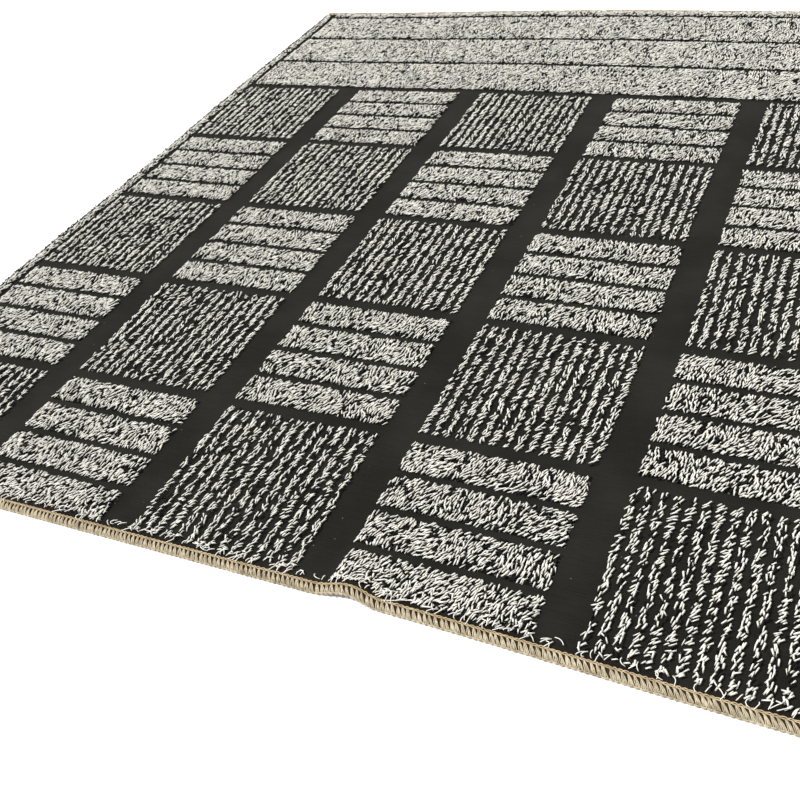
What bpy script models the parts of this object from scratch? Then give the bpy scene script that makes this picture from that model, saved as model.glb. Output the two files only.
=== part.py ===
"""Hand-woven pile rug, lying flat, with a small buckle in its near edge.

Metres, +Z up. The origin is the middle of the footprint, on the floor. The width runs along X and
the length along Y, with the near end at -Y. A point of the cloth is given by u across and v along
the straight loom-state cloth, and place() sets it where the uneven rug really has it.
"""

import math
from bisect import bisect_left
from bisect import bisect_right
from collections import namedtuple

import bmesh
import bpy

# Driving dimensions
WIDTH = 2.50
LENGTH = 3.00
GROUND = 0.006
PILE = 0.0075
GAP = 0.0003

# Pattern: a log-cabin check of barred and ridged squares, with cross bands at the far end
SQUARES_ACROSS = 5
SQUARES_ALONG = 5
LATTICE_ACROSS = 0.085
LATTICE_ALONG = 0.034
BARS_A_SQUARE = 4
BAR_GAP = 0.020
RIDGES_A_SQUARE = 15
RIDGE = 0.0165
RIM = 0.028
DARK_LINE = 0.018
NEAR_MARGIN = 0.012
EDGE_BAND = 0.030
FAR_MARGIN = 0.006
FAR_BANDS = 3
SHOULDER = 0.007

# Greatest spacing of the mesh lines: across pile, along the edging, and on the underside
STATION = 0.14
EDGE_STATION = 0.125
UNDER_STATION_U = 0.25
UNDER_STATION_V = 0.4

# Overlocked edging, folded round each cut end
BINDING_WIDTH = 0.022
BINDING_HEIGHT = 0.0100
BINDING_LEAF = 0.0022
BINDING_ROUND = 0.0035
TONGUE_INSET = 0.0030
LEAF_CLEARANCE = 0.0014

# Yarn locks along the selvedges
LOCKS_A_SIDE = 56
LOCK_REACH = 0.016
LOCK_WIDTH = 0.026
LOCK_TIP_WIDTH = 0.008
LOCK_TIP_HEIGHT = 0.004
STRIP_WIDTH = 0.006
STRIP_HEIGHT = 0.011

# Unevenness of the whole cloth
NEAR_SKEW = 0.019
NEAR_SKEW_FROM = 0.35
NEAR_SKEW_RUN = 0.85
FAR_BOW = 0.012
FAR_BOW_HALF = 1.05
SIDE_WAVE = 0.004
SIDE_WAVE_AT = 0.08
SIDE_WAVE_LENGTH = 1.3
LUMP = 0.12
LUMP_WAVES = ((37, 11, 0.0), (-17, 29, 1.3))
LOCK_SWAY = 0.006
LOCK_UNEVENNESS = 0.20

# The buckle of the near edge: how far each line lifts, as a share of its height
BUCKLE_U = 0.33
BUCKLE_LIFT = 0.011
BUCKLE_PULL = 0.007
BUCKLE_ACROSS = (
    # offset, share
    (-0.075, 0.0),
    (-0.050, 0.25),
    (-0.020, 0.86),
    (0.000, 1.0),
    (0.020, 0.86),
    (0.050, 0.25),
    (0.075, 0.0),
)
BUCKLE_ALONG = (
    # distance from the near edge, share
    (0.000, 1.0),
    (0.034, 1.0),
    (0.075, 0.45),
    (0.125, 0.0),
)

# Soft creases, pressed in when the rug was folded
Crease = namedtuple("Crease", "u v half_u half_v height")
CREASES = (
    Crease(u=0.503, v=0.226, half_u=0.26, half_v=0.045, height=0.0035),
    Crease(u=-0.014, v=-1.010, half_u=0.295, half_v=0.048, height=0.0030),
    Crease(u=0.62, v=1.110, half_u=0.20, half_v=0.060, height=0.0060),
)

# Worked out from the driving dimensions
NEAR = -LENGTH / 2
FAR = LENGTH / 2
CENTRING = (NEAR_SKEW - FAR_BOW) / 2
CLOTH_HALF = WIDTH / 2 - LOCK_REACH - STRIP_WIDTH - GAP
FIELD_HALF = CLOTH_HALF - RIM - DARK_LINE
SQUARE = (2 * FIELD_HALF - (SQUARES_ACROSS - 1) * LATTICE_ACROSS) / SQUARES_ACROSS
FIELD_NEAR = NEAR + BINDING_WIDTH + NEAR_MARGIN
FIELD_FAR = FIELD_NEAR + SQUARES_ALONG * (SQUARE + LATTICE_ALONG)
BANDS_FAR = FAR - BINDING_WIDTH - FAR_MARGIN
TONGUE_NEAR = NEAR + TONGUE_INSET
TONGUE_FAR = FAR - TONGUE_INSET
TONGUE_UNDER = BINDING_LEAF + GAP
UNDER_INSIDE = LENGTH / 2 - BINDING_WIDTH - LEAF_CLEARANCE
UNDER_FLAT = UNDER_INSIDE - BINDING_LEAF
UNDER_STEPS = [TONGUE_NEAR, -UNDER_INSIDE, -UNDER_FLAT, UNDER_FLAT, UNDER_INSIDE, TONGUE_FAR]
RIMS = ((-CLOTH_HALF, -CLOTH_HALF + RIM), (CLOTH_HALF - RIM, CLOTH_HALF))
BUCKLE_US = [BUCKLE_U + offset for offset, _ in BUCKLE_ACROSS]
BUCKLE_VS = [NEAR + distance for distance, _ in BUCKLE_ALONG]

# Colour, roughness
GROUND_FINISH = ("ground_wool", (0.026, 0.025, 0.021), 0.95)
PILE_FINISH = ("pile_yarn", (0.56, 0.54, 0.50), 0.90)
EDGING_FINISH = ("edging_yarn", (0.55, 0.46, 0.31), 0.85)


def between(value, table):
    """Straight-line reading of a table of (position, value) rows, held at its ends."""
    if value <= table[0][0]:
        return table[0][1]
    for (low, at_low), (high, at_high) in zip(table, table[1:]):
        if value <= high:
            return at_low + (at_high - at_low) * (value - low) / (high - low)
    return table[-1][1]


def buckle(u, v):
    """How much of the buckle's height a point of the cloth has, from 0 to 1."""
    return between(u - BUCKLE_U, BUCKLE_ACROSS) * between(v - NEAR, BUCKLE_ALONG)


def near_skew(u):
    """The near edge swings outward to the right of the buckle."""
    t = min(1.0, max(0.0, (u - NEAR_SKEW_FROM) / NEAR_SKEW_RUN))
    return -NEAR_SKEW * t * t * (3 - 2 * t)


def far_bow(u):
    """The far edge bows outward in its middle."""
    return FAR_BOW * math.cos(math.pi * min(1.0, abs(u) / FAR_BOW_HALF))


def side_wave(v):
    """Both selvedges are drawn in a little about halfway along."""
    return SIDE_WAVE * math.cos(2 * math.pi * (v - SIDE_WAVE_AT) / SIDE_WAVE_LENGTH)


def place(u, v, z):
    """Where a point of the straight cloth lies on the floor."""
    to_far = min(1.0, max(0.0, v / LENGTH + 0.5))
    share = buckle(u, v)
    x = u - side_wave(v) * u / (WIDTH / 2)
    y = v + CENTRING + near_skew(u) * (1 - to_far) ** 2 + far_bow(u) * to_far**2 + BUCKLE_PULL * share
    return (x, y, z + BUCKLE_LIFT * share)


def swell(u, v):
    """Rise of the top face over the creases."""
    rise = 0.0
    for crease in CREASES:
        across = (u - crease.u) / crease.half_u
        along = (v - crease.v) / crease.half_v
        if abs(across) < 1 and abs(along) < 1:
            rise += crease.height * (math.cos(across * math.pi / 2) * math.cos(along * math.pi / 2)) ** 2
    return rise


def lumpy(u, v):
    """Uneven height of the pile, as a share of its full height."""
    first, second = (math.sin(across * u + along * v + start) for across, along, start in LUMP_WAVES)
    return 1 + LUMP * first * second


def micrometres(value):
    return round(value * 1e6)


def repeated(low, high, count, gap):
    """count equal bars from low to high, with the same gap between them."""
    bar = (high - low - (count - 1) * gap) / count
    return [(low + i * (bar + gap), low + i * (bar + gap) + bar) for i in range(count)]


def raised(position, bars, shoulder):
    """Share of the pile's height at a position across some bars with sloping shoulders."""
    for low, high in bars:
        if low < position < high:
            return min(1.0, (position - low) / shoulder, (high - position) / shoulder)
    return 0.0


def lines_of(bars, shoulder):
    """The edges of some bars and of their tops."""
    lines = []
    for low, high in bars:
        lines += [low, low + shoulder, high - shoulder, high]
    return lines


def stations(low, high, step):
    """Even positions from low to high, about a step apart."""
    count = max(1, round((high - low) / step))
    return [low + (high - low) * i / count for i in range(count + 1)]


ALONG_RIM = stations(FIELD_NEAR, BANDS_FAR, (BANDS_FAR - FIELD_NEAR) / LOCKS_A_SIDE)


class Cloth:
    """One face of the cloth, gathered as rectangles that share the points on their edges."""

    def __init__(self, creases=()):
        self.creases = creases
        self.cells = []
        self.height = {}
        self.rows = {}
        self.columns = {}
        self.points = {}

    def note(self, u, v):
        self.rows.setdefault(v, set()).add(u)
        self.columns.setdefault(u, set()).add(v)

    def add(self, us, vs, across=(), along=(), shoulder_u=SHOULDER, shoulder_v=SHOULDER):
        """A rectangle cut along the lines us and vs, with pile where a bar across meets one along."""
        low_u, high_u = min(us), max(us)
        low_v, high_v = min(vs), max(vs)
        us = self.with_folds(us, vs, BUCKLE_US, BUCKLE_VS, 0)
        vs = self.with_folds(vs, us, BUCKLE_VS, BUCKLE_US, 1)
        us = sorted({micrometres(u) for u in us if low_u <= u <= high_u})
        vs = sorted({micrometres(v) for v in vs if low_v <= v <= high_v})
        for u in us:
            for v in vs:
                self.note(u, v)
                share = raised(u / 1e6, across, shoulder_u) * raised(v / 1e6, along, shoulder_v)
                if share > 1e-3:
                    self.height[u, v] = PILE * share * lumpy(u / 1e6, v / 1e6)
        for low, high in zip(us, us[1:]):
            for near, far in zip(vs, vs[1:]):
                self.cells.append((low, high, near, far))

    def with_folds(self, lines, others, buckle_lines, buckle_others, axis):
        """Lines plus those that the buckle or a crease needs where it crosses this rectangle."""
        found = list(lines)
        if min(others) < max(buckle_others) and max(others) > min(buckle_others):
            found += [x for x in buckle_lines if min(lines) < x < max(lines)]
        for crease in self.creases:
            middle, half = (crease.u, crease.half_u) if axis == 0 else (crease.v, crease.half_v)
            side, reach = (crease.v, crease.half_v) if axis == 0 else (crease.u, crease.half_u)
            if min(others) < side + reach and max(others) > side - reach:
                for x in (middle - half, middle, middle + half):
                    clear = all(abs(x - line) > SHOULDER for line in lines)
                    if min(lines) < x < max(lines) and clear:
                        found.append(x)
        return found

    def loop(self, cell):
        """The points round a rectangle, with those that its neighbours have on its edges."""
        low, high, near, far = cell
        row_near = sorted(self.rows[near])
        row_far = sorted(self.rows[far])
        column_low = sorted(self.columns[low])
        column_high = sorted(self.columns[high])
        loop = [(u, near) for u in row_near[bisect_left(row_near, low) : bisect_left(row_near, high)]]
        away = column_high[bisect_left(column_high, near) : bisect_left(column_high, far)]
        loop += [(high, v) for v in away]
        back = row_far[bisect_right(row_far, low) : bisect_right(row_far, high)]
        loop += [(u, far) for u in reversed(back)]
        down = column_low[bisect_right(column_low, near) : bisect_right(column_low, far)]
        loop += [(low, v) for v in reversed(down)]
        return loop

    def point(self, bm, key, rise):
        """The mesh point at a key, made when it is first asked for."""
        if key not in self.points:
            u, v = key[0] / 1e6, key[1] / 1e6
            self.points[key] = bm.verts.new(place(u, v, rise(u, v) + self.height.get(key, 0.0)))
        return self.points[key]

    def make_faces(self, bm, rise):
        """Faces for every rectangle, as a fan where a neighbour has points on its edges."""
        for cell in self.cells:
            loop = self.loop(cell)
            corners = [self.point(bm, key, rise) for key in loop]
            if len(corners) == 4:
                faces = [bm.faces.new(corners)]
            else:
                low, high, near, far = cell
                middle = self.point(bm, ((low + high) // 2, (near + far) // 2), rise)
                ring = zip(corners, corners[1:] + corners[:1])
                faces = [bm.faces.new((middle, start, end)) for start, end in ring]
            pile = any(key in self.height for key in loop)
            for face in faces:
                face.material_index = 1 if pile else 0

    def edge(self, axis, end):
        """The points along one side of the cloth, as (position, point) in order."""
        lines = (self.columns, self.rows)[axis]
        line = (min(lines), max(lines))[end]
        keys = [(line, at) if axis == 0 else (at, line) for at in sorted(lines[line])]
        return [(key[1 - axis], self.points[key]) for key in keys]


def lay_out_top(cloth):
    """Fills the top with its margins, rims, lattice, squares and bands."""
    squares_u = repeated(-FIELD_HALF, FIELD_HALF, SQUARES_ACROSS, LATTICE_ACROSS)
    squares_v = repeated(FIELD_NEAR, FIELD_FAR - LATTICE_ALONG, SQUARES_ALONG, LATTICE_ALONG)
    bands = repeated(FIELD_FAR, BANDS_FAR - EDGE_BAND - DARK_LINE, FAR_BANDS, DARK_LINE)
    bands.append((BANDS_FAR - EDGE_BAND, BANDS_FAR))
    cloth.add(stations(-CLOTH_HALF, CLOTH_HALF, EDGE_STATION), [TONGUE_NEAR, FIELD_NEAR])
    cloth.add(stations(-CLOTH_HALF, CLOTH_HALF, EDGE_STATION), [BANDS_FAR, TONGUE_FAR])

    for low, high in RIMS:
        rim = [(low, high)]
        whole = [(FIELD_NEAR, BANDS_FAR)]
        cloth.add(lines_of(rim, SHOULDER), ALONG_RIM, rim, whole)
    for side in (-1, 1):
        inner, outer = sorted((side * FIELD_HALF, side * (CLOTH_HALF - RIM)))
        cloth.add([inner, outer], [v for patch in squares_v + bands for v in patch])

    for j, (near, far) in enumerate(squares_v):
        for i, (low, high) in enumerate(squares_u):
            if (i + j) % 2 == 0:
                gap = (SQUARE - RIDGES_A_SQUARE * RIDGE) / (RIDGES_A_SQUARE - 1)
                ridges = repeated(low, high, RIDGES_A_SQUARE, gap)
                length = [(near, far)]
                cloth.add(lines_of(ridges, RIDGE / 2), lines_of(length, SHOULDER), ridges, length, RIDGE / 2)
            else:
                bars = repeated(near, far, BARS_A_SQUARE, BAR_GAP)
                breadth = [(low, high)]
                us = lines_of(breadth, SHOULDER) + stations(low, high, STATION)
                cloth.add(us, lines_of(bars, SHOULDER), breadth, bars)
        for (_, low), (high, _) in zip(squares_u, squares_u[1:]):
            cloth.add([low, high], [near, far])
        cloth.add([u for square in squares_u for u in square], [far, far + LATTICE_ALONG])

    breadth = [(-FIELD_HALF, FIELD_HALF)]
    us = stations(-FIELD_HALF, FIELD_HALF, STATION)
    for band in bands:
        cloth.add(us + lines_of(breadth, SHOULDER), lines_of([band], SHOULDER), breadth, [band])
    for (_, near), (far, _) in zip(bands, bands[1:]):
        cloth.add(us, [near, far])


def lay_out_underside(cloth):
    """Fills the underside: fine lines along the selvedges and coarse ones between them."""
    for low, high in RIMS:
        cloth.add([low, high], UNDER_STEPS + ALONG_RIM)
    middle = CLOTH_HALF - RIM
    vs = UNDER_STEPS + stations(FIELD_NEAR, BANDS_FAR, UNDER_STATION_V)
    cloth.add(stations(-middle, middle, UNDER_STATION_U), vs)


def under_height(u, v):
    """The underside lies on the floor and rises at each end into its edging."""
    return 0.0 if abs(v) <= UNDER_FLAT else TONGUE_UNDER


def material(finish):
    name, colour, roughness = finish
    made = bpy.data.materials.get(name)
    if made is None:
        made = bpy.data.materials.new(name)
        made.use_nodes = True
        shader = made.node_tree.nodes["Principled BSDF"]
        shader.inputs["Base Color"].default_value = (*colour, 1.0)
        shader.inputs["Roughness"].default_value = roughness
        shader.inputs["Metallic"].default_value = 0.0
    return made


def finish_object(name, bm, finishes):
    """Turns a bmesh into an object of the scene, in triangles and with its faces outward."""
    bmesh.ops.triangulate(bm, faces=bm.faces[:])
    bmesh.ops.recalc_face_normals(bm, faces=bm.faces[:])
    mesh = bpy.data.meshes.new(name)
    bm.to_mesh(mesh)
    bm.free()
    for finish in finishes:
        mesh.materials.append(material(finish))
    made = bpy.data.objects.new(name, mesh)
    bpy.context.scene.collection.objects.link(made)
    return made


def make_wall(bm, lower, upper):
    """Closes one side between a row of points of the underside and one of the top."""
    places = [position for position, _ in upper]
    marks = [min(range(len(places)), key=lambda k: abs(places[k] - at)) for at, _ in lower]
    for (_, start), (_, end), first, last in zip(lower, lower[1:], marks, marks[1:]):
        run = [point for _, point in upper[first : last + 1]]
        for a, b in zip(run, run[1:]):
            bm.faces.new((start, b, a))
        bm.faces.new((start, end, run[-1]))


def make_rug():
    """The cloth: a patterned top, a flat underside and walls between them."""
    bm = bmesh.new()
    top = Cloth(CREASES)
    lay_out_top(top)
    top.make_faces(bm, lambda u, v: GROUND + swell(u, v))
    underside = Cloth()
    lay_out_underside(underside)
    underside.make_faces(bm, under_height)
    for axis in (0, 1):
        for end in (0, 1):
            make_wall(bm, underside.edge(axis, end), top.edge(axis, end))
    return finish_object("rug", bm, (GROUND_FINISH, PILE_FINISH))


def make_binding(name, end, along_sign):
    """The edging: one folded strip whose two leaves hold the cloth's end between them."""
    upper = GROUND + GAP
    inner = TONGUE_INSET - LEAF_CLEARANCE
    profile = (
        # distance in from the end, height
        (BINDING_WIDTH, 0.0),
        (BINDING_ROUND, 0.0),
        (0.0, 0.3 * BINDING_HEIGHT),
        (0.0, 0.75 * BINDING_HEIGHT),
        (BINDING_ROUND, BINDING_HEIGHT),
        (BINDING_WIDTH, upper + BINDING_LEAF),
        (BINDING_WIDTH, upper),
        (inner, upper),
        (inner, BINDING_LEAF),
        (BINDING_WIDTH, BINDING_LEAF),
    )
    half = CLOTH_HALF + GAP + STRIP_WIDTH
    us = sorted({micrometres(u) for u in stations(-half, half, EDGE_STATION) + BUCKLE_US * (end < 0)})
    bm = bmesh.new()
    rings = [
        [bm.verts.new(place(u / 1e6, end + along_sign * distance, height)) for distance, height in profile]
        for u in us
    ]
    for ring, following in zip(rings, rings[1:]):
        for i in range(len(profile)):
            j = (i + 1) % len(profile)
            bm.faces.new((ring[i], ring[j], following[j], following[i]))
    for ring in (rings[0], rings[-1]):
        bm.faces.new((ring[0], ring[1], ring[2], ring[8], ring[9]))
        bm.faces.new((ring[2], ring[3], ring[7], ring[8]))
        bm.faces.new((ring[3], ring[4], ring[5], ring[6], ring[7]))
    return finish_object(name, bm, (EDGING_FINISH,))


def make_locks(name, side):
    """A narrow strip beside the selvedge, with a four-sided lock of yarn at every pitch."""
    low = CLOTH_HALF + GAP
    high = low + STRIP_WIDTH
    near = NEAR + BINDING_WIDTH + GAP
    far = FAR - BINDING_WIDTH - GAP
    pitch = (far - near) / LOCKS_A_SIDE
    margin = (pitch - LOCK_WIDTH) / 2
    bm = bmesh.new()

    def point(u, v, z):
        return bm.verts.new(place(side * u, v, z))

    def station(v):
        corners = ((low, 0.0), (high, 0.0), (high, STRIP_HEIGHT), (low, STRIP_HEIGHT))
        return [point(u, v, z) for u, z in corners]

    rings = [station(near)]
    for i in range(LOCKS_A_SIDE):
        start = near + i * pitch + margin
        sway = LOCK_SWAY * math.sin(2.4 * i) * math.cos(0.9 * i)
        reach = high + LOCK_REACH * (1 - LOCK_UNEVENNESS + LOCK_UNEVENNESS * math.sin(1.7 * i + 0.4))
        middle = start + LOCK_WIDTH / 2 + sway
        root = [station(start), station(start + LOCK_WIDTH)]
        tip = [
            point(reach, middle - LOCK_TIP_WIDTH / 2, 0.0),
            point(reach, middle + LOCK_TIP_WIDTH / 2, 0.0),
            point(reach, middle + LOCK_TIP_WIDTH / 2, LOCK_TIP_HEIGHT),
            point(reach, middle - LOCK_TIP_WIDTH / 2, LOCK_TIP_HEIGHT),
        ]
        base = [root[0][1], root[1][1], root[1][2], root[0][2]]
        for k in range(4):
            m = (k + 1) % 4
            bm.faces.new((base[k], base[m], tip[m], tip[k]))
        bm.faces.new(tip)
        rings += root
    rings.append(station(far))
    for number, (ring, following) in enumerate(zip(rings, rings[1:])):
        holds_lock = number % 2 == 1
        for k in range(4):
            if holds_lock and k == 1:
                continue
            m = (k + 1) % 4
            bm.faces.new((ring[k], ring[m], following[m], following[k]))
    bm.faces.new(rings[0])
    bm.faces.new(rings[-1])
    return finish_object(name, bm, (PILE_FINISH,))


def main():
    for old in list(bpy.data.objects):
        bpy.data.objects.remove(old, do_unlink=True)
    make_rug()
    make_binding("near_binding", NEAR, 1)
    make_binding("far_binding", FAR, -1)
    make_locks("left_locks", -1)
    make_locks("right_locks", 1)


main()
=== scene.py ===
"""Looks of the hand-woven pile rug: woven ground, pile yarns, tufted selvedges and overlocked ends.

Metres, in the frame's axes: X across the rug, Y along it, Z up, the near end at -Y. A point of the
rug is given by u across and v along the straight cloth, and place() sets it on the uneven rug.
"""

import math
from collections import namedtuple

import bpy
import numpy as np
from mathutils import Matrix, Vector


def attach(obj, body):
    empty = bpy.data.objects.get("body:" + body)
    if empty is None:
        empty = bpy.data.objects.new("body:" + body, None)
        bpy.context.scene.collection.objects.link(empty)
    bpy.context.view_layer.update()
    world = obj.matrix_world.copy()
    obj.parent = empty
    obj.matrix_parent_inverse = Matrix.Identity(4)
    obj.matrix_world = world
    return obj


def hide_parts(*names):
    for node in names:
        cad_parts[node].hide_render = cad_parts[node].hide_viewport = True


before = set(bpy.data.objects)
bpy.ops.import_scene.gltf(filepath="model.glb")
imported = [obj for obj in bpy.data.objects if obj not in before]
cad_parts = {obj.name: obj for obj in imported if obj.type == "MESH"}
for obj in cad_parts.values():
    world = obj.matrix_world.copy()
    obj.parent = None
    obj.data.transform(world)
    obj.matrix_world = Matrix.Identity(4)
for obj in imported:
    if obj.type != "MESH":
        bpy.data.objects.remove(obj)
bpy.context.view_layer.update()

# The cloth, as in the solids
WIDTH = 2.50
LENGTH = 3.00
GROUND = 0.006
PILE = 0.0075
GAP = 0.0003
LATTICE_ACROSS = 0.085
LATTICE_ALONG = 0.034
SQUARES_ACROSS = 5
SQUARES_ALONG = 5
BARS_A_SQUARE = 4
BAR_GAP = 0.020
RIDGES_A_SQUARE = 15
RIDGE = 0.0165
SHOULDER = 0.007
RIM = 0.028
DARK_LINE = 0.018
NEAR_MARGIN = 0.012
EDGE_BAND = 0.030
FAR_MARGIN = 0.006
FAR_BANDS = 3

# Edging and selvedges, as in the solids
BINDING_WIDTH = 0.022
BINDING_LEAF = 0.0022
TONGUE_INSET = 0.0030
LEAF_CLEARANCE = 0.0014
LOCKS_A_SIDE = 56
LOCK_REACH = 0.016
STRIP_WIDTH = 0.006
STRIP_HEIGHT = 0.011

# Unevenness of the whole cloth, as in the solids
NEAR_SKEW = 0.019
NEAR_SKEW_FROM = 0.35
NEAR_SKEW_RUN = 0.85
FAR_BOW = 0.012
FAR_BOW_HALF = 1.05
SIDE_WAVE = 0.004
SIDE_WAVE_AT = 0.08
SIDE_WAVE_LENGTH = 1.3
LOCK_SWAY = 0.006
LOCK_UNEVENNESS = 0.20
BUCKLE_U = 0.33
BUCKLE_HALF = 0.075
BUCKLE_LIFT = 0.011
BUCKLE_PULL = 0.007
BUCKLE_FROM = 0.034
BUCKLE_TO = 0.125
Crease = namedtuple("Crease", "u v half_u half_v height")
CREASES = (
    Crease(u=0.503, v=0.226, half_u=0.26, half_v=0.045, height=0.0035),
    Crease(u=-0.014, v=-1.010, half_u=0.295, half_v=0.048, height=0.0030),
    Crease(u=0.62, v=1.110, half_u=0.20, half_v=0.060, height=0.0060),
)

# Yarns
YARN = 0.0038
STRAND = 0.0165
STRAND_PITCH_ALONG = 0.0116
STRAND_PITCH_ACROSS = 0.0056
RIDGE_ROOTS = 0.0145
EDGE_SLOPE = 0.011
BAND_INSET = 0.004
BED = 0.34
NAP = math.radians(244)
CLUMP = 0.045
MESSY_EDGE = 0.09
DARK_YARNS = 0.19

# Overlock stitches
STITCH = 0.0108
WRAP_YARN = 0.00125
NEEDLE_LINE = 0.0195
LEGS = (
    # sideways places of its yarns, extra lean, lift over the other leg
    ((-0.0026, 0.0, 0.0026), 0.0, 0.0),
    ((-0.0013, 0.0013), 0.0062, 0.0008),
)

# Rings along a selvedge's strip and an edging's fold, corners round a yarn, and yarns in a lock
STRIP_STATIONS = 240
FOLD_STATIONS = 300
TUBE_SIDES = 4
YARNS_A_LOCK = 26

# The folded strip's rounded outer edge
NOSE_RADIUS = 0.0034
NOSE_INSET = 0.0020
NOSE_LIFT = 0.0016

# Stray yarns over the near and the far edging, and pulled loops beside the buckle
LOOSE_ENDS = 200
FAR_LOOSE_ENDS = 420
PULLED_LOOPS = (
    # from u, from v, to u, to v, swing
    (0.385, -1.474, 0.425, -1.452, 0.006),
    (0.400, -1.479, 0.442, -1.466, -0.003),
    (0.300, -1.470, 0.318, -1.472, 0.010),
)

# Light
SUN_HEADING = (0.62, 0.30, -0.80)
SUN_STRENGTH = 3.8
SUN_SPREAD = math.radians(12)
SKY_STRENGTH = 0.80

# Worked out from the sizes above
NEAR = -LENGTH / 2
FAR = LENGTH / 2
CENTRING = (NEAR_SKEW - FAR_BOW) / 2
CLOTH_HALF = WIDTH / 2 - LOCK_REACH - STRIP_WIDTH - GAP
FIELD_HALF = CLOTH_HALF - RIM - DARK_LINE
SQUARE = (2 * FIELD_HALF - (SQUARES_ACROSS - 1) * LATTICE_ACROSS) / SQUARES_ACROSS
FIELD_NEAR = NEAR + BINDING_WIDTH + NEAR_MARGIN
FIELD_FAR = FIELD_NEAR + SQUARES_ALONG * (SQUARE + LATTICE_ALONG)
BANDS_FAR = FAR - BINDING_WIDTH - FAR_MARGIN

# Spacing of the cloth's mesh lines, how many of them to one of the underside's, and the bed's unevenness
FILL = 0.022
UNDER_FILL = 8
BED_ROUGHNESS = 0.0010

random = np.random.default_rng(23)


def bell(t):
    """A smooth hump from 0 at -1 through 1 at 0 to 0 at 1."""
    return np.where(np.abs(t) < 1, np.cos(np.clip(t, -1, 1) * math.pi / 2) ** 2, 0.0)


def buckle(u, v):
    """How much of the buckle's height a point of the cloth has, from 0 to 1."""
    inward = np.clip((v - NEAR - BUCKLE_FROM) / (BUCKLE_TO - BUCKLE_FROM), 0, 1)
    return bell((u - BUCKLE_U) / BUCKLE_HALF) * bell(inward)


def place(u, v, z):
    """Where points of the straight cloth lie on the floor, as rows of x, y, z."""
    u, v, z = np.broadcast_arrays(*(np.asarray(a, float) for a in (u, v, z)))
    turn = np.clip((u - NEAR_SKEW_FROM) / NEAR_SKEW_RUN, 0, 1)
    near_skew = -NEAR_SKEW * turn**2 * (3 - 2 * turn)
    far_bow = FAR_BOW * np.cos(math.pi * np.minimum(1, np.abs(u) / FAR_BOW_HALF))
    side_wave = SIDE_WAVE * np.cos(2 * math.pi * (v - SIDE_WAVE_AT) / SIDE_WAVE_LENGTH)
    to_far = np.clip(v / LENGTH + 0.5, 0, 1)
    share = buckle(u, v)
    x = u - side_wave * u / (WIDTH / 2)
    y = v + CENTRING + near_skew * (1 - to_far) ** 2 + far_bow * to_far**2 + BUCKLE_PULL * share
    return np.stack([x, y, z + BUCKLE_LIFT * share], axis=-1)


def swell(u, v):
    """Rise of the top face over the creases and the cloth's own unevenness."""
    rise = 0.0004 * (np.sin(9 * u + 4 * v) + np.sin(7 * v - 5 * u + 1))
    for crease in CREASES:
        across = bell((u - crease.u) / crease.half_u)
        rise = rise + crease.height * across * bell((v - crease.v) / crease.half_v)
    return rise


CLOUDS = random.random((8, 64, 64))


def cloudy(u, v, size, layer):
    """Smooth random values from 0 to 1 over the cloth, in patches of about the given size."""
    s, t = np.asarray(u) / size + 17.3 * layer, np.asarray(v) / size + 5.1 * layer
    i, j = np.floor(s).astype(int), np.floor(t).astype(int)
    a, b = s - i, t - j
    a, b = a * a * (3 - 2 * a), b * b * (3 - 2 * b)
    table = CLOUDS[layer % 8]
    low = table[i % 64, j % 64] * (1 - a) + table[(i + 1) % 64, j % 64] * a
    high = table[i % 64, (j + 1) % 64] * (1 - a) + table[(i + 1) % 64, (j + 1) % 64] * a
    return low * (1 - b) + high * b


# The pattern, as patches of pile
Patch = namedtuple("Patch", "low_u high_u near_v far_v ridge", defaults=[False])


def repeated(low, high, count, gap):
    bar = (high - low - (count - 1) * gap) / count
    return [(low + i * (bar + gap), low + i * (bar + gap) + bar) for i in range(count)]


def square_patches(low, high, near, far, ridged):
    """The ridges along a ridged square, or the bars across a barred one."""
    if ridged:
        gap = (SQUARE - RIDGES_A_SQUARE * RIDGE) / (RIDGES_A_SQUARE - 1)
        ridges = repeated(low, high, RIDGES_A_SQUARE, gap)
        return [Patch(a, b, near, far, ridge=True) for a, b in ridges]
    bars = repeated(near, far, BARS_A_SQUARE, BAR_GAP)
    return [Patch(low, high, a, b) for a, b in bars]


def pattern():
    """Patches of pile by the name of the piece that they make."""
    pieces = {}
    columns = repeated(-FIELD_HALF, FIELD_HALF, SQUARES_ACROSS, LATTICE_ACROSS)
    rows = repeated(FIELD_NEAR, FIELD_FAR - LATTICE_ALONG, SQUARES_ALONG, LATTICE_ALONG)
    for j, (near, far) in enumerate(rows):
        patches = []
        for i, (low, high) in enumerate(columns):
            patches += square_patches(low, high, near, far, ridged=(i + j) % 2 == 0)
        pieces[f"pile_squares_{j + 1}"] = patches
    bands = repeated(FIELD_FAR, BANDS_FAR - EDGE_BAND - DARK_LINE, FAR_BANDS, DARK_LINE)
    bands.append((BANDS_FAR - EDGE_BAND, BANDS_FAR))
    for j, (near, far) in enumerate(bands):
        pieces[f"pile_band_{j + 1}"] = [Patch(-FIELD_HALF, FIELD_HALF, near, far)]
    rims = ((-CLOTH_HALF, -CLOTH_HALF + RIM), (CLOTH_HALF - RIM, CLOTH_HALF))
    pieces["pile_rims"] = [Patch(low, high, FIELD_NEAR, BANDS_FAR) for low, high in rims]
    return pieces


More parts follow.
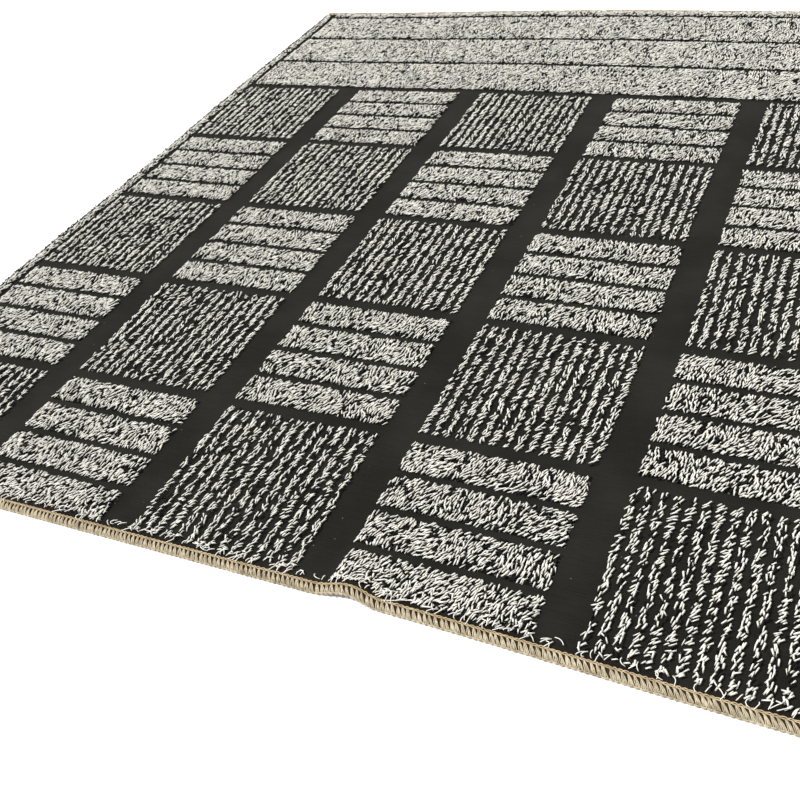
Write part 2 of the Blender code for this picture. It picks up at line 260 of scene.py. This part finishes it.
# Materials
class Value:
    """A socket of a material. Sums written on it add Math nodes."""

    def __init__(self, finish, socket):
        self.finish = finish
        self.socket = socket

    def math(self, operation, *values):
        return self.finish.node("ShaderNodeMath", {"operation": operation}, *values)

    def __add__(self, other):
        return self.math("ADD", self, other)

    def __sub__(self, other):
        return self.math("SUBTRACT", self, other)

    def __mul__(self, other):
        return self.math("MULTIPLY", self, other)

    def __rsub__(self, other):
        return self.math("SUBTRACT", other, self)

    def __gt__(self, other):
        return self.math("GREATER_THAN", self, other)

    def __lt__(self, other):
        return self.math("LESS_THAN", self, other)

    __radd__ = __add__
    __rmul__ = __mul__

    def wave(self, pitch):
        """Ribs of the given pitch along this coordinate, from 0 to 1."""
        return self.math("SINE", self * (2 * math.pi / pitch)) * 0.5 + 0.5

    def between(self, low, high):
        """0 below low, 1 above high and smooth between them."""
        settings = {"interpolation_type": "SMOOTHSTEP"}
        return self.finish.node("ShaderNodeMapRange", settings, self, low, high)


class Finish:
    """One material: a Principled shader, its constants and the nodes that feed it."""

    def __init__(self, name, **constants):
        self.material = bpy.data.materials.new(name)
        self.material.use_nodes = True
        self.tree = self.material.node_tree
        self.shader = self.tree.nodes["Principled BSDF"]
        for key, value in constants.items():
            self.shader.inputs[key.replace("_", " ")].default_value = value
        self.where = self.node("ShaderNodeTexCoord", output="Object")

    def node(self, kind, settings=None, *values, output=0, **named):
        """A node of any kind, with its settings made first and then its sockets fed."""
        made = self.tree.nodes.new(kind)
        for key, value in (settings or {}).items():
            setattr(made, key, value)
        for key, value in [*enumerate(values), *named.items()]:
            self.feed(made.inputs[key], value)
        return Value(self, made.outputs[output])

    def feed(self, socket, value):
        if isinstance(value, Value):
            self.tree.links.new(value.socket, socket)
        elif value is not None:
            socket.default_value = value

    def stretched(self, across, along, turn=0.0):
        """Coordinates turned about Z, then scaled, so that a texture runs with the nap."""
        settings = {"rotation_type": "Z_AXIS"}
        turned = self.node("ShaderNodeVectorRotate", settings, Vector=self.where, Angle=turn)
        return self.node("ShaderNodeVectorMath", {"operation": "MULTIPLY"}, turned, (across, along, across))

    def noise(self, scale, detail=2.0, vector=None, roughness=0.5):
        sockets = {"Vector": vector or self.where, "Scale": scale, "Detail": detail, "Roughness": roughness}
        return self.node("ShaderNodeTexNoise", None, **sockets)

    def mix(self, factor, first, second):
        """A colour between two colours."""
        made = self.tree.nodes.new("ShaderNodeMix")
        made.data_type = "RGBA"
        for index, value in ((0, factor), (6, first), (7, second)):
            self.feed(made.inputs[index], value if isinstance(value, (Value, float)) else (*value, 1.0))
        return Value(self, made.outputs[2])

    def show(self, colour, height, depth):
        """Feeds the colour and the relief to the shader."""
        self.feed(self.shader.inputs["Base Color"], colour)
        bump = self.node("ShaderNodeBump", None, Strength=1.0, Distance=depth, Height=height)
        self.feed(self.shader.inputs["Normal"], bump)
        return self.material


def woven_ground():
    """Flat-woven charcoal wool: faint cross ribs, cloudy wear and a little pale lint."""
    finish = Finish("woven_ground", Roughness=0.95, Specular_IOR_Level=0.12, Sheen_Weight=0.02)
    xyz = finish.tree.nodes.new("ShaderNodeSeparateXYZ")
    finish.feed(xyz.inputs[0], finish.where)
    x, y = Value(finish, xyz.outputs["X"]), Value(finish, xyz.outputs["Y"])
    wander = finish.noise(9.0) * 0.004
    ribs = (y + wander).wave(0.0068)
    warp = (x + wander).wave(0.0042)
    fuzz = finish.noise(330.0, 3.0, roughness=0.7)
    streaks = finish.noise(1.0, 3.0, finish.stretched(14.0, 150.0))
    worn = finish.noise(5.0, 4.0).between(0.35, 0.7)
    tone = 0.08 * ribs + 0.06 * warp + 0.75 * fuzz + 0.35 * streaks + 0.35 * worn - 0.30
    cloth = finish.mix(tone, (0.0030, 0.0027, 0.0020), (0.0200, 0.0184, 0.0142))
    settings = {"feature": "F1"}
    along_weave = finish.stretched(46.0, 30.0, 0.7)
    speck = finish.node("ShaderNodeTexVoronoi", settings, Vector=along_weave, Scale=1.0)
    lint = (speck < 0.045) * (finish.noise(3.1, 1.0) > 0.52)
    colour = finish.mix(lint * 0.5, cloth, (0.30, 0.28, 0.23))
    return finish.show(colour, ribs * 0.4 + warp * 0.2 + fuzz * 0.7, 0.0007)


def pile_bed():
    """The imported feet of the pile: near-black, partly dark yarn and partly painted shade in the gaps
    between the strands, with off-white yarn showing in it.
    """
    finish = Finish("pile_bed", Roughness=0.95, Specular_IOR_Level=0.1)
    worms = finish.noise(1.0, 2.0, finish.stretched(300.0, 95.0, -NAP - math.pi / 2))
    pale = worms.between(0.58, 0.66)
    # The near-black stands partly for dark yarn and partly for painted shade between the strands.
    colour = finish.mix(pale * 0.2, (0.0035, 0.0033, 0.0028), (0.42, 0.40, 0.36))
    return finish.show(colour, worms, 0.003)


def yarn(name, dark, light, sheen):
    """Loosely spun wool: cloudy along the rug, flecked along each yarn."""
    finish = Finish(name, Roughness=0.88, Specular_IOR_Level=0.2, Sheen_Weight=sheen, Sheen_Roughness=0.5)
    clouds = finish.noise(70.0, 2.0)
    fibre = finish.noise(900.0, 3.0, roughness=0.6)
    tone = (0.75 * clouds + 0.65 * fibre - 0.20).between(0.1, 0.8)
    return finish.show(finish.mix(tone, dark, light), fibre, 0.0006)


# Meshes
def mesh_piece(name, points, faces, materials, face_material=None):
    """A piece from arrays: points in rows, faces as rows of 3 or 4 corners, -1 where there is none."""
    used = faces >= 0
    totals = used.sum(1)
    mesh = bpy.data.meshes.new(name)
    mesh.vertices.add(len(points))
    mesh.vertices.foreach_set("co", np.asarray(points, np.float32).ravel())
    mesh.loops.add(int(totals.sum()))
    mesh.loops.foreach_set("vertex_index", faces[used].astype(np.int32))
    mesh.polygons.add(len(faces))
    mesh.polygons.foreach_set("loop_start", (np.cumsum(totals) - totals).astype(np.int32))
    if face_material is not None:
        mesh.polygons.foreach_set("material_index", np.asarray(face_material, np.int32))
    mesh.polygons.foreach_set("use_smooth", np.full(len(faces), True))
    mesh.update(calc_edges=True)
    for material in materials:
        mesh.materials.append(material)
    piece = bpy.data.objects.new(name, mesh)
    bpy.context.scene.collection.objects.link(piece)
    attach(piece, "root")
    return piece


def grid_faces(rows, columns, flip=False):
    """Corner numbers of the quads of a grid of points, row after row."""
    i, j = np.meshgrid(np.arange(rows - 1), np.arange(columns - 1), indexing="ij")
    a = (i * columns + j).ravel()
    quads = np.stack([a, a + columns, a + columns + 1, a + 1], axis=1)
    return quads[:, ::-1] if flip else quads


def ring_faces(stations, sides, flip=False):
    """Corner numbers of the quads round a tube whose rings follow one another."""
    i, j = np.meshgrid(np.arange(stations - 1), np.arange(sides), indexing="ij")
    a, b = (i * sides + j).ravel(), (i * sides + (j + 1) % sides).ravel()
    quads = np.stack([a, b, b + sides, a + sides], axis=1)
    return quads[:, ::-1] if flip else quads


def filled(lines, step):
    """Sorted lines with more between them, so that none are further apart than a step."""
    lines = sorted(lines)
    lines = [a for a, b in zip(lines, lines[1:] + [lines[-1] + 1]) if b - a > 1e-5]
    found = [lines[0]]
    for a, b in zip(lines, lines[1:]):
        parts = max(1, math.ceil((b - a) / step - 1e-6))
        found += [a + (b - a) * k / parts for k in range(1, parts + 1)]
    return np.array(found)


def pile_share(us, vs, patches):
    """How high the bed of the pile stands at each crossing of the lines, from 0 to 1."""
    share = np.zeros((len(us), len(vs)))
    for patch in patches:
        i = np.flatnonzero((us > patch.low_u - 1e-6) & (us < patch.high_u + 1e-6))
        j = np.flatnonzero((vs > patch.near_v - 1e-6) & (vs < patch.far_v + 1e-6))
        reach_u = np.minimum(us[i] - patch.low_u, patch.high_u - us[i]) / SHOULDER
        reach_v = np.minimum(vs[j] - patch.near_v, patch.far_v - vs[j]) / SHOULDER
        hump = np.outer(np.clip(reach_u, 0, 1), np.clip(reach_v, 0, 1))
        share[i[:, None], j] = np.maximum(share[i[:, None], j], hump)
    return share


def side_wall(upper, lower, upper_vs, lower_vs):
    """Faces between a row of many points and the row of fewer points under it."""
    marks = np.abs(upper_vs - lower_vs[:, None]).argmin(1)
    faces = []
    for k in range(len(lower) - 1):
        run = upper[marks[k] : marks[k + 1] + 1]
        faces += [(lower[k], b, a, -1) for a, b in zip(run, run[1:])]
        faces.append((lower[k], lower[k + 1], run[-1], -1))
    return np.array(faces)


def make_ground(patches, materials):
    """The woven cloth: a slab with the bed of the pile raised on it."""
    beds = [patch for patch in patches if not patch.ridge]
    us = {-CLOTH_HALF, CLOTH_HALF, BUCKLE_U}
    tongue = LENGTH / 2 - BINDING_WIDTH - LEAF_CLEARANCE
    ends = [NEAR + TONGUE_INSET, -tongue, -tongue + BINDING_LEAF]
    vs = {*ends, *(-v for v in ends)}
    for patch in beds:
        us.update((patch.low_u, patch.low_u + SHOULDER, patch.high_u - SHOULDER, patch.high_u))
        vs.update((patch.near_v, patch.near_v + SHOULDER, patch.far_v - SHOULDER, patch.far_v))
    us = filled({round(u, 6) for u in us}, FILL)
    vs = filled({round(v, 6) for v in vs}, FILL)
    share = pile_share(us, vs, beds)
    u, v = np.meshgrid(us, vs, indexing="ij")
    rough = BED_ROUGHNESS * (cloudy(u, v, 0.02, 1) - 0.5)
    top = place(u, v, GROUND + swell(u, v) + share * (BED * PILE + rough))
    flat = np.abs(vs) < tongue - BINDING_LEAF / 2
    keep = ~flat | (np.arange(len(vs)) % UNDER_FILL == 0) | (vs < NEAR + BUCKLE_TO + FILL)
    keep |= np.isclose(np.abs(vs), tongue - BINDING_LEAF)
    under_u, under_v = np.meshgrid(us, vs[keep], indexing="ij")
    under = place(under_u, under_v, np.where(flat[keep], 0.0, BINDING_LEAF + GAP))
    top_faces = grid_faces(*u.shape)
    under_faces = grid_faces(*under_u.shape, flip=True) + u.size
    upper = np.arange(u.size).reshape(u.shape)
    lower = np.arange(under_u.size).reshape(under_u.shape) + u.size
    near_wall = np.stack([upper[:-1, 0], upper[1:, 0], lower[1:, 0], lower[:-1, 0]], axis=1)[:, ::-1]
    far_wall = np.stack([upper[:-1, -1], upper[1:, -1], lower[1:, -1], lower[:-1, -1]], axis=1)
    right_wall = side_wall(upper[-1], lower[-1], vs, vs[keep])
    left_wall = side_wall(upper[0], lower[0], vs, vs[keep])[:, [1, 0, 2, 3]]
    # Faces under the pile take the bed's near-black, which is partly painted shade.
    is_bed = (share.ravel()[top_faces].max(1) > 0.01).astype(int)
    faces = np.concatenate([top_faces, under_faces, near_wall, far_wall, left_wall, right_wall])
    face_material = np.concatenate([is_bed, np.zeros(len(faces) - len(is_bed), int)])
    points = np.concatenate([top.reshape(-1, 3), under.reshape(-1, 3)])
    return mesh_piece("ground_cloth", points, faces, materials, face_material)


# Corners of one strand: its foot, then left, top and right at its bend, and the two of its tip
STRAND_CORNERS = 6
STRAND_FACES = np.array(
    [
        (0, 2, 1, -1),
        (0, 3, 2, -1),
        (0, 1, 3, -1),
        (1, 2, 4, -1),
        (2, 5, 4, -1),
        (2, 3, 5, -1),
        (1, 4, 5, 3),
    ]
)


def strand_mesh(foot, bend, tip, width):
    """Points and faces of many short yarns, each given by the places of its foot, bend and tip."""
    heading = tip - foot
    heading[:, 2] = 0
    heading /= np.linalg.norm(heading, axis=1)[:, None] + 1e-9
    left = np.stack([-heading[:, 1], heading[:, 0], np.zeros(len(heading))], axis=1)
    up = np.array([0, 0, 1.0])
    wide = width[:, None]
    half = left * wide / 2
    under, crown = up * wide * 0.30, up * wide * 0.38
    end = left * wide * 0.36
    corners = [foot, bend + half - under, bend + crown, bend - half - under, tip + end, tip - end]
    points = np.stack(corners, axis=1).reshape(-1, 3)
    starts = np.arange(len(foot))[:, None, None] * STRAND_CORNERS
    faces = np.where(STRAND_FACES >= 0, STRAND_FACES + starts, -1).reshape(-1, 4)
    return points, faces


def joined(parts):
    """One set of points and faces from several."""
    points, faces, count = [], [], 0
    for some_points, some_faces in parts:
        points.append(some_points)
        faces.append(np.where(some_faces >= 0, some_faces + count, -1))
        count += len(some_points)
    return np.concatenate(points), np.concatenate(faces)


def rooted(patch):
    """Where the yarns of a patch stand, in staggered rows along the nap."""
    middle = np.array([patch.low_u + patch.high_u, patch.near_v + patch.far_v]) / 2
    half = RIDGE_ROOTS / 2 if patch.ridge else (patch.high_u - patch.low_u) / 2
    reach = math.hypot(patch.high_u - middle[0], patch.far_v - middle[1])
    rows, places = (math.ceil(reach / pitch) for pitch in (STRAND_PITCH_ACROSS, STRAND_PITCH_ALONG))
    i, j = np.meshgrid(np.arange(-rows, rows + 1), np.arange(-places, places + 1), indexing="ij")
    jitter = random.uniform(-0.5, 0.5, (2, *i.shape))
    across = STRAND_PITCH_ACROSS * (i + 0.55 * jitter[0])
    along = STRAND_PITCH_ALONG * (j + 0.5 * (i % 2) + 0.75 * jitter[1])
    u = middle[0] + along * math.cos(NAP) - across * math.sin(NAP)
    v = middle[1] + along * math.sin(NAP) + across * math.cos(NAP)
    inside = (np.abs(u - middle[0]) < half) & (v > patch.near_v) & (v < patch.far_v)
    return u[inside], v[inside]


def strands_in(patch):
    """Feet, bends, tips and widths of the yarns of one patch, in cloth coordinates."""
    ridge = patch.ridge
    u, v = rooted(patch)
    count = len(u)
    turn = NAP + 1.1 * (cloudy(u, v, CLUMP, 2) - 0.5) + random.normal(0, 0.20, count)
    messy = np.clip(1 - (v - FIELD_NEAR) / MESSY_EDGE, 0, 1)
    turn = turn + messy * random.normal(0, 0.55, count)
    length = STRAND * (0.75 + 0.5 * random.random(count))
    fluff = 0.80 + 0.34 * cloudy(u, v, 0.05, 3) + 0.10 * random.normal(0, 1, count)
    step = np.stack([np.cos(turn), np.sin(turn)], axis=1) * length[:, None]
    sway = np.stack([-np.sin(turn), np.cos(turn)], axis=1) * random.normal(0, 0.0022, count)[:, None]
    middle = np.stack([u, v], axis=1)
    margin = 0.0005 + 0.0035 * random.random(count)[:, None]
    inset = BAND_INSET if patch.high_u - patch.low_u > 2 * SQUARE else 0.0
    low = np.array([patch.low_u, patch.near_v]) - margin + inset
    high = np.array([patch.high_u, patch.far_v]) + margin - inset
    places = (middle - 0.5 * step, middle - 0.2 * step + sway, middle + 0.5 * step)
    foot, bend, tip = (np.clip(p, low, high) for p in places)
    lift = GROUND + swell(u, v)
    inward_u = np.minimum(u - patch.low_u, patch.high_u - u)
    inward = np.minimum(inward_u, np.minimum(v - patch.near_v, patch.far_v - v))
    slope = 0.88 if ridge else 0.60 + 0.40 * np.clip(inward / EDGE_SLOPE, 0, 1)
    crown = lift + PILE * fluff * slope
    foot_z = lift + PILE * BED * (0.0 if ridge else 0.6 * np.clip(inward / EDGE_SLOPE, 0, 1))
    tip_z = np.maximum(lift + 0.0015, crown - 0.0005 - 0.0035 * random.random(count))
    width = YARN * (0.75 + 0.5 * random.random(count))
    return (foot, foot_z), (bend, crown), (tip, tip_z), width


def make_pile(name, patches, white, charcoal):
    """The yarns of some patches, most of them off-white and some charcoal."""
    parts = [strands_in(patch) for patch in patches]
    ends = []
    for k in range(3):
        flat = np.concatenate([part[k][0] for part in parts])
        height = np.concatenate([part[k][1] for part in parts])
        ends.append(place(flat[:, 0], flat[:, 1], height))
    width = np.concatenate([part[3] for part in parts])
    points, faces = strand_mesh(*ends, width)
    middles = (ends[0] + ends[2]) / 2
    clumps = cloudy(middles[:, 0], middles[:, 1], 0.013, 5)
    dark = random.random(len(width)) < DARK_YARNS * (0.35 + 1.3 * clumps)
    dark_faces = np.repeat(dark, len(STRAND_FACES))
    return mesh_piece(name, points, faces, [white, charcoal], dark_faces)


def make_selvedge(name, side, white, charcoal, bed, node):
    """One selvedge: its narrow strip and the locks of loose yarn that hang out from it."""
    near = NEAR + BINDING_WIDTH + GAP
    far = FAR - BINDING_WIDTH - GAP
    low, high = CLOTH_HALF + GAP, CLOTH_HALF + GAP + STRIP_WIDTH
    vs = np.linspace(near, far, STRIP_STATIONS)
    profile = ((low, 0.0), (high, 0.0), (high, 0.6), (high - 0.002, 0.95), (low, 1.0))
    bumps = STRIP_HEIGHT * (0.86 + 0.14 * cloudy(vs * 0, vs, 0.03, 4))
    rings = [place(side * u, vs, z * bumps) for u, z in profile]
    strip = np.stack(rings, axis=1).reshape(-1, 3)
    k = len(profile)
    closing = np.array([(0, 1, 2, 3), (0, 3, 4, -1)])
    opening = closing[:, [0, 3, 2, 1]]
    opening[1] = (4, 3, 0, -1)
    closing = np.where(closing >= 0, closing + (len(vs) - 1) * k, -1)
    strip_faces = np.concatenate([ring_faces(len(vs), k), opening, closing])
    if side > 0:
        strip_faces = np.where(strip_faces[:, 3:] >= 0, strip_faces[:, ::-1], strip_faces[:, [2, 1, 0, 3]])
    pitch = (far - near) / LOCKS_A_SIDE
    number = np.repeat(np.arange(LOCKS_A_SIDE), YARNS_A_LOCK)
    count = len(number)
    sway = LOCK_SWAY * np.sin(2.4 * number) * np.cos(0.9 * number)
    reach = LOCK_REACH * (1 - LOCK_UNEVENNESS + LOCK_UNEVENNESS * np.sin(1.7 * number + 0.4))
    across = random.normal(0, 0.36, count)
    foot_v = near + (number + 0.5) * pitch + across * pitch
    tip_v = foot_v + sway - 0.20 * across * pitch + random.normal(0, 0.007, count)
    foot_v, tip_v = np.clip(foot_v, near + 0.002, far - 0.002), np.clip(tip_v, near, far)
    out = reach * (0.30 + 0.75 * random.random(count)) * (1 - 0.25 * np.abs(across))
    foot_u = low + random.random(count) * STRIP_WIDTH * 0.6
    foot = place(side * foot_u, foot_v, STRIP_HEIGHT * (0.35 + 0.4 * random.random(count)))
    bend_z = STRIP_HEIGHT * (0.62 + 0.5 * random.random(count))
    bend = place(side * (high + 0.35 * out - 0.001), foot_v * 0.5 + tip_v * 0.5, bend_z)
    tip = place(side * (high + out), tip_v, 0.0012 + 0.005 * random.random(count) ** 2)
    locks, lock_faces = strand_mesh(foot, bend, tip, YARN * (0.8 + 0.5 * random.random(count)))
    points, faces = joined([(strip, strip_faces), (locks, lock_faces)])
    dark = np.repeat(random.random(count) < 0.45, len(STRAND_FACES)).astype(int)
    # The strip takes the pile bed's near-black, which is partly painted shade.
    face_material = np.concatenate([np.full(len(strip_faces), 2), dark])
    piece = mesh_piece(name, points, faces, [white, charcoal, bed], face_material)
    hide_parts(node)
    return piece


def tubes(paths, radii, reference):
    """Yarns along many paths of the same number of points, round the given sideways direction."""
    tangent = np.gradient(paths, axis=1)
    tangent /= np.linalg.norm(tangent, axis=2)[..., None] + 1e-12
    first = reference - (tangent @ reference)[..., None] * tangent
    first /= np.linalg.norm(first, axis=2)[..., None] + 1e-12
    second = np.cross(tangent, first)
    count, stations, _ = paths.shape
    angle = 2 * math.pi * (np.arange(TUBE_SIDES) + 0.5) / TUBE_SIDES
    ring = first[:, :, None] * np.cos(angle)[:, None] + second[:, :, None] * np.sin(angle)[:, None]
    points = (paths[:, :, None] + ring * radii[..., None, None]).reshape(-1, 3)
    last = (stations - 1) * TUBE_SIDES
    ends = np.array([(3, 2, 1, 0), (last, last + 1, last + 2, last + 3)])
    faces = np.concatenate([ring_faces(stations, TUBE_SIDES), ends])
    starts = np.arange(count)[:, None, None] * stations * TUBE_SIDES
    return points, (faces + starts).reshape(-1, 4)


def edging_point(end, u, distance, z):
    """A place on the edging, a distance in from its end of the rug."""
    return place(u, end + distance if end < 0 else end - distance, z)


def make_fold(name, end, material, node):
    """The folded strip of yarn under the stitches, coloured dark brown as painted shade, with a full rounded
    outer edge.
    """
    upper = GROUND + GAP
    turn = [math.radians(a) for a in (-90, -60, -30, 0, 30, 60, 90)]
    nose = [
        (NOSE_INSET + NOSE_RADIUS * (1 - math.cos(a)), NOSE_RADIUS * (1 + math.sin(a)) + NOSE_LIFT)
        for a in turn
    ]
    profile = [
        # distance in from the end, height
        (BINDING_WIDTH, 0.0006),
        *nose,
        (0.013, upper + BINDING_LEAF),
        (BINDING_WIDTH, upper + 0.0016),
        (BINDING_WIDTH, upper),
        (TONGUE_INSET, upper),
        (TONGUE_INSET, BINDING_LEAF),
        (BINDING_WIDTH, BINDING_LEAF),
    ]
    half_width = CLOTH_HALF + GAP + STRIP_WIDTH
    us = np.linspace(-half_width, half_width, FOLD_STATIONS)
    points = np.stack([edging_point(end, us, d, z) for d, z in profile], axis=1).reshape(-1, 3)
    k = len(profile)
    faces = ring_faces(len(us), k, flip=end < 0)
    # Each end is closed by quads from the lower leaf, round the nose, to the upper leaf
    pairs = [(0, k - 1), (1, k - 1), (2, k - 2), (3, k - 2), (4, k - 3), (5, k - 3), (6, k - 3), (7, k - 3)]
    pairs += [(8, k - 4), (9, k - 5)]
    caps = []
    for (a, d), (b, c) in zip(pairs, pairs[1:]):
        corners = list(dict.fromkeys((a, b, c, d)))
        if len(corners) > 2:
            caps.append([*corners, -1][:4])
    caps = np.array(caps)
    closing = np.where(caps >= 0, caps + (len(us) - 1) * k, -1)
    piece = mesh_piece(name, points, np.concatenate([faces, caps, closing]), [material])
    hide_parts(node)
    return piece


def stitch_places():
    """Where the overlock stitches stand along the edging, a little unevenly."""
    half_width = CLOTH_HALF + STRIP_WIDTH - 0.004
    count = round(2 * half_width / STITCH)
    u = np.linspace(-half_width, half_width, count)
    return u + random.normal(0, 0.0007, count)


def make_wraps(name, end, places, material):
    """Two legs of yarn to a stitch, narrow at the needle line and full over the end."""
    route = np.array(
        [
            # share of the lean, distance in from the end, height
            (0.00, 0.0190, 0.0078),
            (0.22, 0.0150, 0.0100),
            (0.60, 0.0075, 0.0102),
            (0.92, 0.0014, 0.0074),
            (1.00, 0.0014, 0.0034),
            (1.00, 0.0050, 0.0016),
        ]
    )
    narrow = np.array([0.35, 0.55, 1.0, 1.0, 1.0, 1.0])
    limit = CLOTH_HALF + GAP + STRIP_WIDTH
    lean = np.interp(places, (-1.0, 0.0, 1.2), (0.0010, 0.0070, 0.0110))
    paths, radii = [], []
    for yarns, turn, lift in LEGS:
        for offset in yarns:
            fan = offset * narrow
            u = places[:, None] + (lean[:, None] + turn) * (route[:, 0] - 0.3) + fan
            u = u + random.normal(0, 0.00040, u.shape)
            distance = route[:, 1] + random.normal(0, 0.00035, u.shape)
            rise = lift + random.normal(0, 0.00035, (len(places), 1))
            z = route[:, 2] + rise * (route[:, 2] > 0.004)
            paths.append(edging_point(end, np.clip(u, -limit, limit), distance, z))
            thick = WRAP_YARN * (0.75 + 0.40 * random.random(len(places)))
            radii.append(np.outer(thick, (0.70, 0.95, 1.05, 1.0, 0.9, 0.7)))
    points, faces = tubes(np.concatenate(paths), np.concatenate(radii), np.array([1.0, 0, 0]))
    return mesh_piece(name, points, faces, [material])


def make_chains(name, end, places, needle, looper):
    """The needle thread's loops along the inner edge, and the looper's twisted chain round the outer one."""
    start, stop = places[:-1], places[1:]
    shares = np.array([-0.10, 0.20, 0.5, 0.80, 1.10])
    bow = np.sin(np.pi * np.clip(shares, 0, 1))
    u = start[:, None] + (stop - start)[:, None] * shares
    parts, marks = [], []
    rows = (
        # material, distance in from the end, height, bow across, bow upward, radius
        (0, NEEDLE_LINE + 0.0008, GROUND + 0.0030, 0.0014, 0.0006, 0.00115),
        (0, NEEDLE_LINE - 0.0006, GROUND + 0.0034, -0.0013, 0.0010, 0.00115),
        (1, 0.0010, 0.0056, -0.0020, 0.0006, 0.00125),
        (1, 0.0012, 0.0030, -0.0022, 0.0000, 0.00125),
    )
    for mark, distance, z, across, upward, radius in rows:
        path = edging_point(end, u, distance + across * bow, z + upward * bow)
        path = path + random.normal(0, 0.00025, path.shape)
        parts.append(tubes(path, radius * (0.75 + 0.25 * bow) * np.ones(u.shape), np.array([0, 0, 1.0])))
        marks.append(np.full(len(parts[-1][1]), mark))
    points, faces = joined(parts)
    return mesh_piece(name, points, faces, [needle, looper], np.concatenate(marks))


def stray_yarns(count, foot_v, heading, reach, low_v, high_v):
    """Paths of loose yarns from the end of the field over its edging."""
    u = random.uniform(-FIELD_HALF, FIELD_HALF, count)
    u += 0.03 * (cloudy(u, u * 0, 0.05, 6) - 0.5)
    turn = heading + random.normal(0, 0.65, count)
    length = random.uniform(*reach, count)
    shares = np.linspace(0, 1, 5)
    bend, curl = random.normal(0, 0.006, count), random.normal(0, 0.004, count)
    wave = np.sin(np.pi * shares)
    across = u[:, None] + np.outer(np.cos(turn) * length, shares)
    across = across + np.outer(bend, shares**2) + np.outer(curl, wave)
    start_v = foot_v + 0.012 * random.random(count)[:, None]
    along = start_v + np.outer(np.sin(turn) * length, shares) + np.outer(curl, shares * wave)
    height = 0.0108 + 0.0022 * np.sin(np.pi * shares) + 0.0005 * random.normal(0, 1, (count, 1))
    return place(across, np.clip(along, low_v, high_v), height)


def make_loose_ends(material):
    """Pile yarns that stray over both edgings, and some pulled loops beside the buckle."""
    near = stray_yarns(LOOSE_ENDS, FIELD_NEAR, math.radians(250), (0.011, 0.020), NEAR + 0.005, FAR)
    reach = (0.018, 0.032)
    far = stray_yarns(FAR_LOOSE_ENDS, BANDS_FAR - 0.012, math.radians(95), reach, NEAR, FAR - 0.004)
    shares = np.linspace(0, 1, 5)
    paths = [near, far]
    for from_u, from_v, to_u, to_v, swing in PULLED_LOOPS:
        loop_u = from_u + (to_u - from_u) * shares
        loop_v = from_v + (to_v - from_v) * shares + swing * np.sin(np.pi * shares)
        paths.append(place(loop_u, loop_v, GROUND + 0.0022 + 0.003 * np.sin(np.pi * shares))[None])
    paths = np.concatenate(paths)
    radius = np.full(paths.shape[:2], 0.0011) * np.linspace(1, 0.75, 5)
    points, faces = tubes(paths, radius, np.array([0, 0, 1.0]))
    return mesh_piece("loose_ends", points, faces, [material])


def make_stage():
    """A plain white floor, even soft light from all round and a broad high sun from the near left."""
    bpy.ops.mesh.primitive_plane_add(size=40, location=(0, 0, -0.0002))
    floor = bpy.context.object
    floor.name = "floor"
    material = bpy.data.materials.new("floor_white")
    material.use_nodes = True
    shader = material.node_tree.nodes["Principled BSDF"]
    shader.inputs["Base Color"].default_value = (0.92, 0.92, 0.92, 1)
    shader.inputs["Roughness"].default_value = 1.0
    shader.inputs["Specular IOR Level"].default_value = 0.0
    floor.data.materials.append(material)
    world = bpy.context.scene.world or bpy.data.worlds.new("studio")
    bpy.context.scene.world = world
    world.use_nodes = True
    background = world.node_tree.nodes["Background"]
    background.inputs["Color"].default_value = (1, 1, 1, 1)
    background.inputs["Strength"].default_value = SKY_STRENGTH
    light = bpy.data.lights.new("key", "SUN")
    light.energy = SUN_STRENGTH
    light.angle = SUN_SPREAD
    key = bpy.data.objects.new("key", light)
    key.rotation_euler = Vector(SUN_HEADING).to_track_quat("-Z", "Y").to_euler()
    bpy.context.scene.collection.objects.link(key)
    scene = bpy.context.scene
    scene.view_settings.view_transform = "Standard"
    scene.view_settings.look = "None"


def make_camera():
    """A hand-held camera near the rug's right corner, turned as in the photograph."""
    right = (0.90364628, 0.40113116, -0.15005728)
    down = (0.15644099, -0.63531919, -0.75623788)
    forward = (-0.39868485, 0.65989644, -0.63685718)
    camera = bpy.data.objects.new("camera", bpy.data.cameras.new("camera"))
    camera.data.lens = 43.76
    camera.data.sensor_width = 36
    columns = [right, [-a for a in down], [-a for a in forward]]
    turn = Matrix(columns).transposed().to_4x4()
    camera.matrix_world = Matrix.Translation((1.101, -2.431 + CENTRING, 1.450)) @ turn
    bpy.context.scene.collection.objects.link(camera)
    bpy.context.scene.camera = camera


def main():
    ground = woven_ground()
    bed = pile_bed()
    white = yarn("off_white_yarn", (0.60, 0.575, 0.505), (0.94, 0.915, 0.845), 0.0)
    charcoal = yarn("charcoal_yarn", (0.0030, 0.0028, 0.0024), (0.014, 0.013, 0.011), 0.0)
    beige = yarn("edging_yarn", (0.22, 0.17, 0.10), (0.60, 0.525, 0.38), 0.0)
    tan = yarn("needle_thread", (0.32, 0.22, 0.10), (0.62, 0.50, 0.32), 0.0)
    # The edging fold's dark brown is painted shade under the stitches.
    fold_painted_shade = yarn("edging_fold", (0.018, 0.012, 0.006), (0.060, 0.040, 0.020), 0.0)
    pieces = pattern()
    every_patch = [patch for patches in pieces.values() for patch in patches]
    cloth = make_ground(every_patch, [ground, bed])
    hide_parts("rug")
    for name, patches in pieces.items():
        make_pile(name, patches, white, charcoal)
    make_selvedge("left_selvedge", -1, white, charcoal, bed, "left_locks")
    make_selvedge("right_selvedge", 1, white, charcoal, bed, "right_locks")
    places = stitch_places()
    for side, end in (("near", NEAR), ("far", FAR)):
        make_fold(f"{side}_edging_fold", end, fold_painted_shade, f"{side}_binding")
        make_wraps(f"{side}_edging_wraps", end, places, beige)
        make_chains(f"{side}_edging_chains", end, places, tan, beige)
    make_loose_ends(white)
    make_stage()
    make_camera()


main()
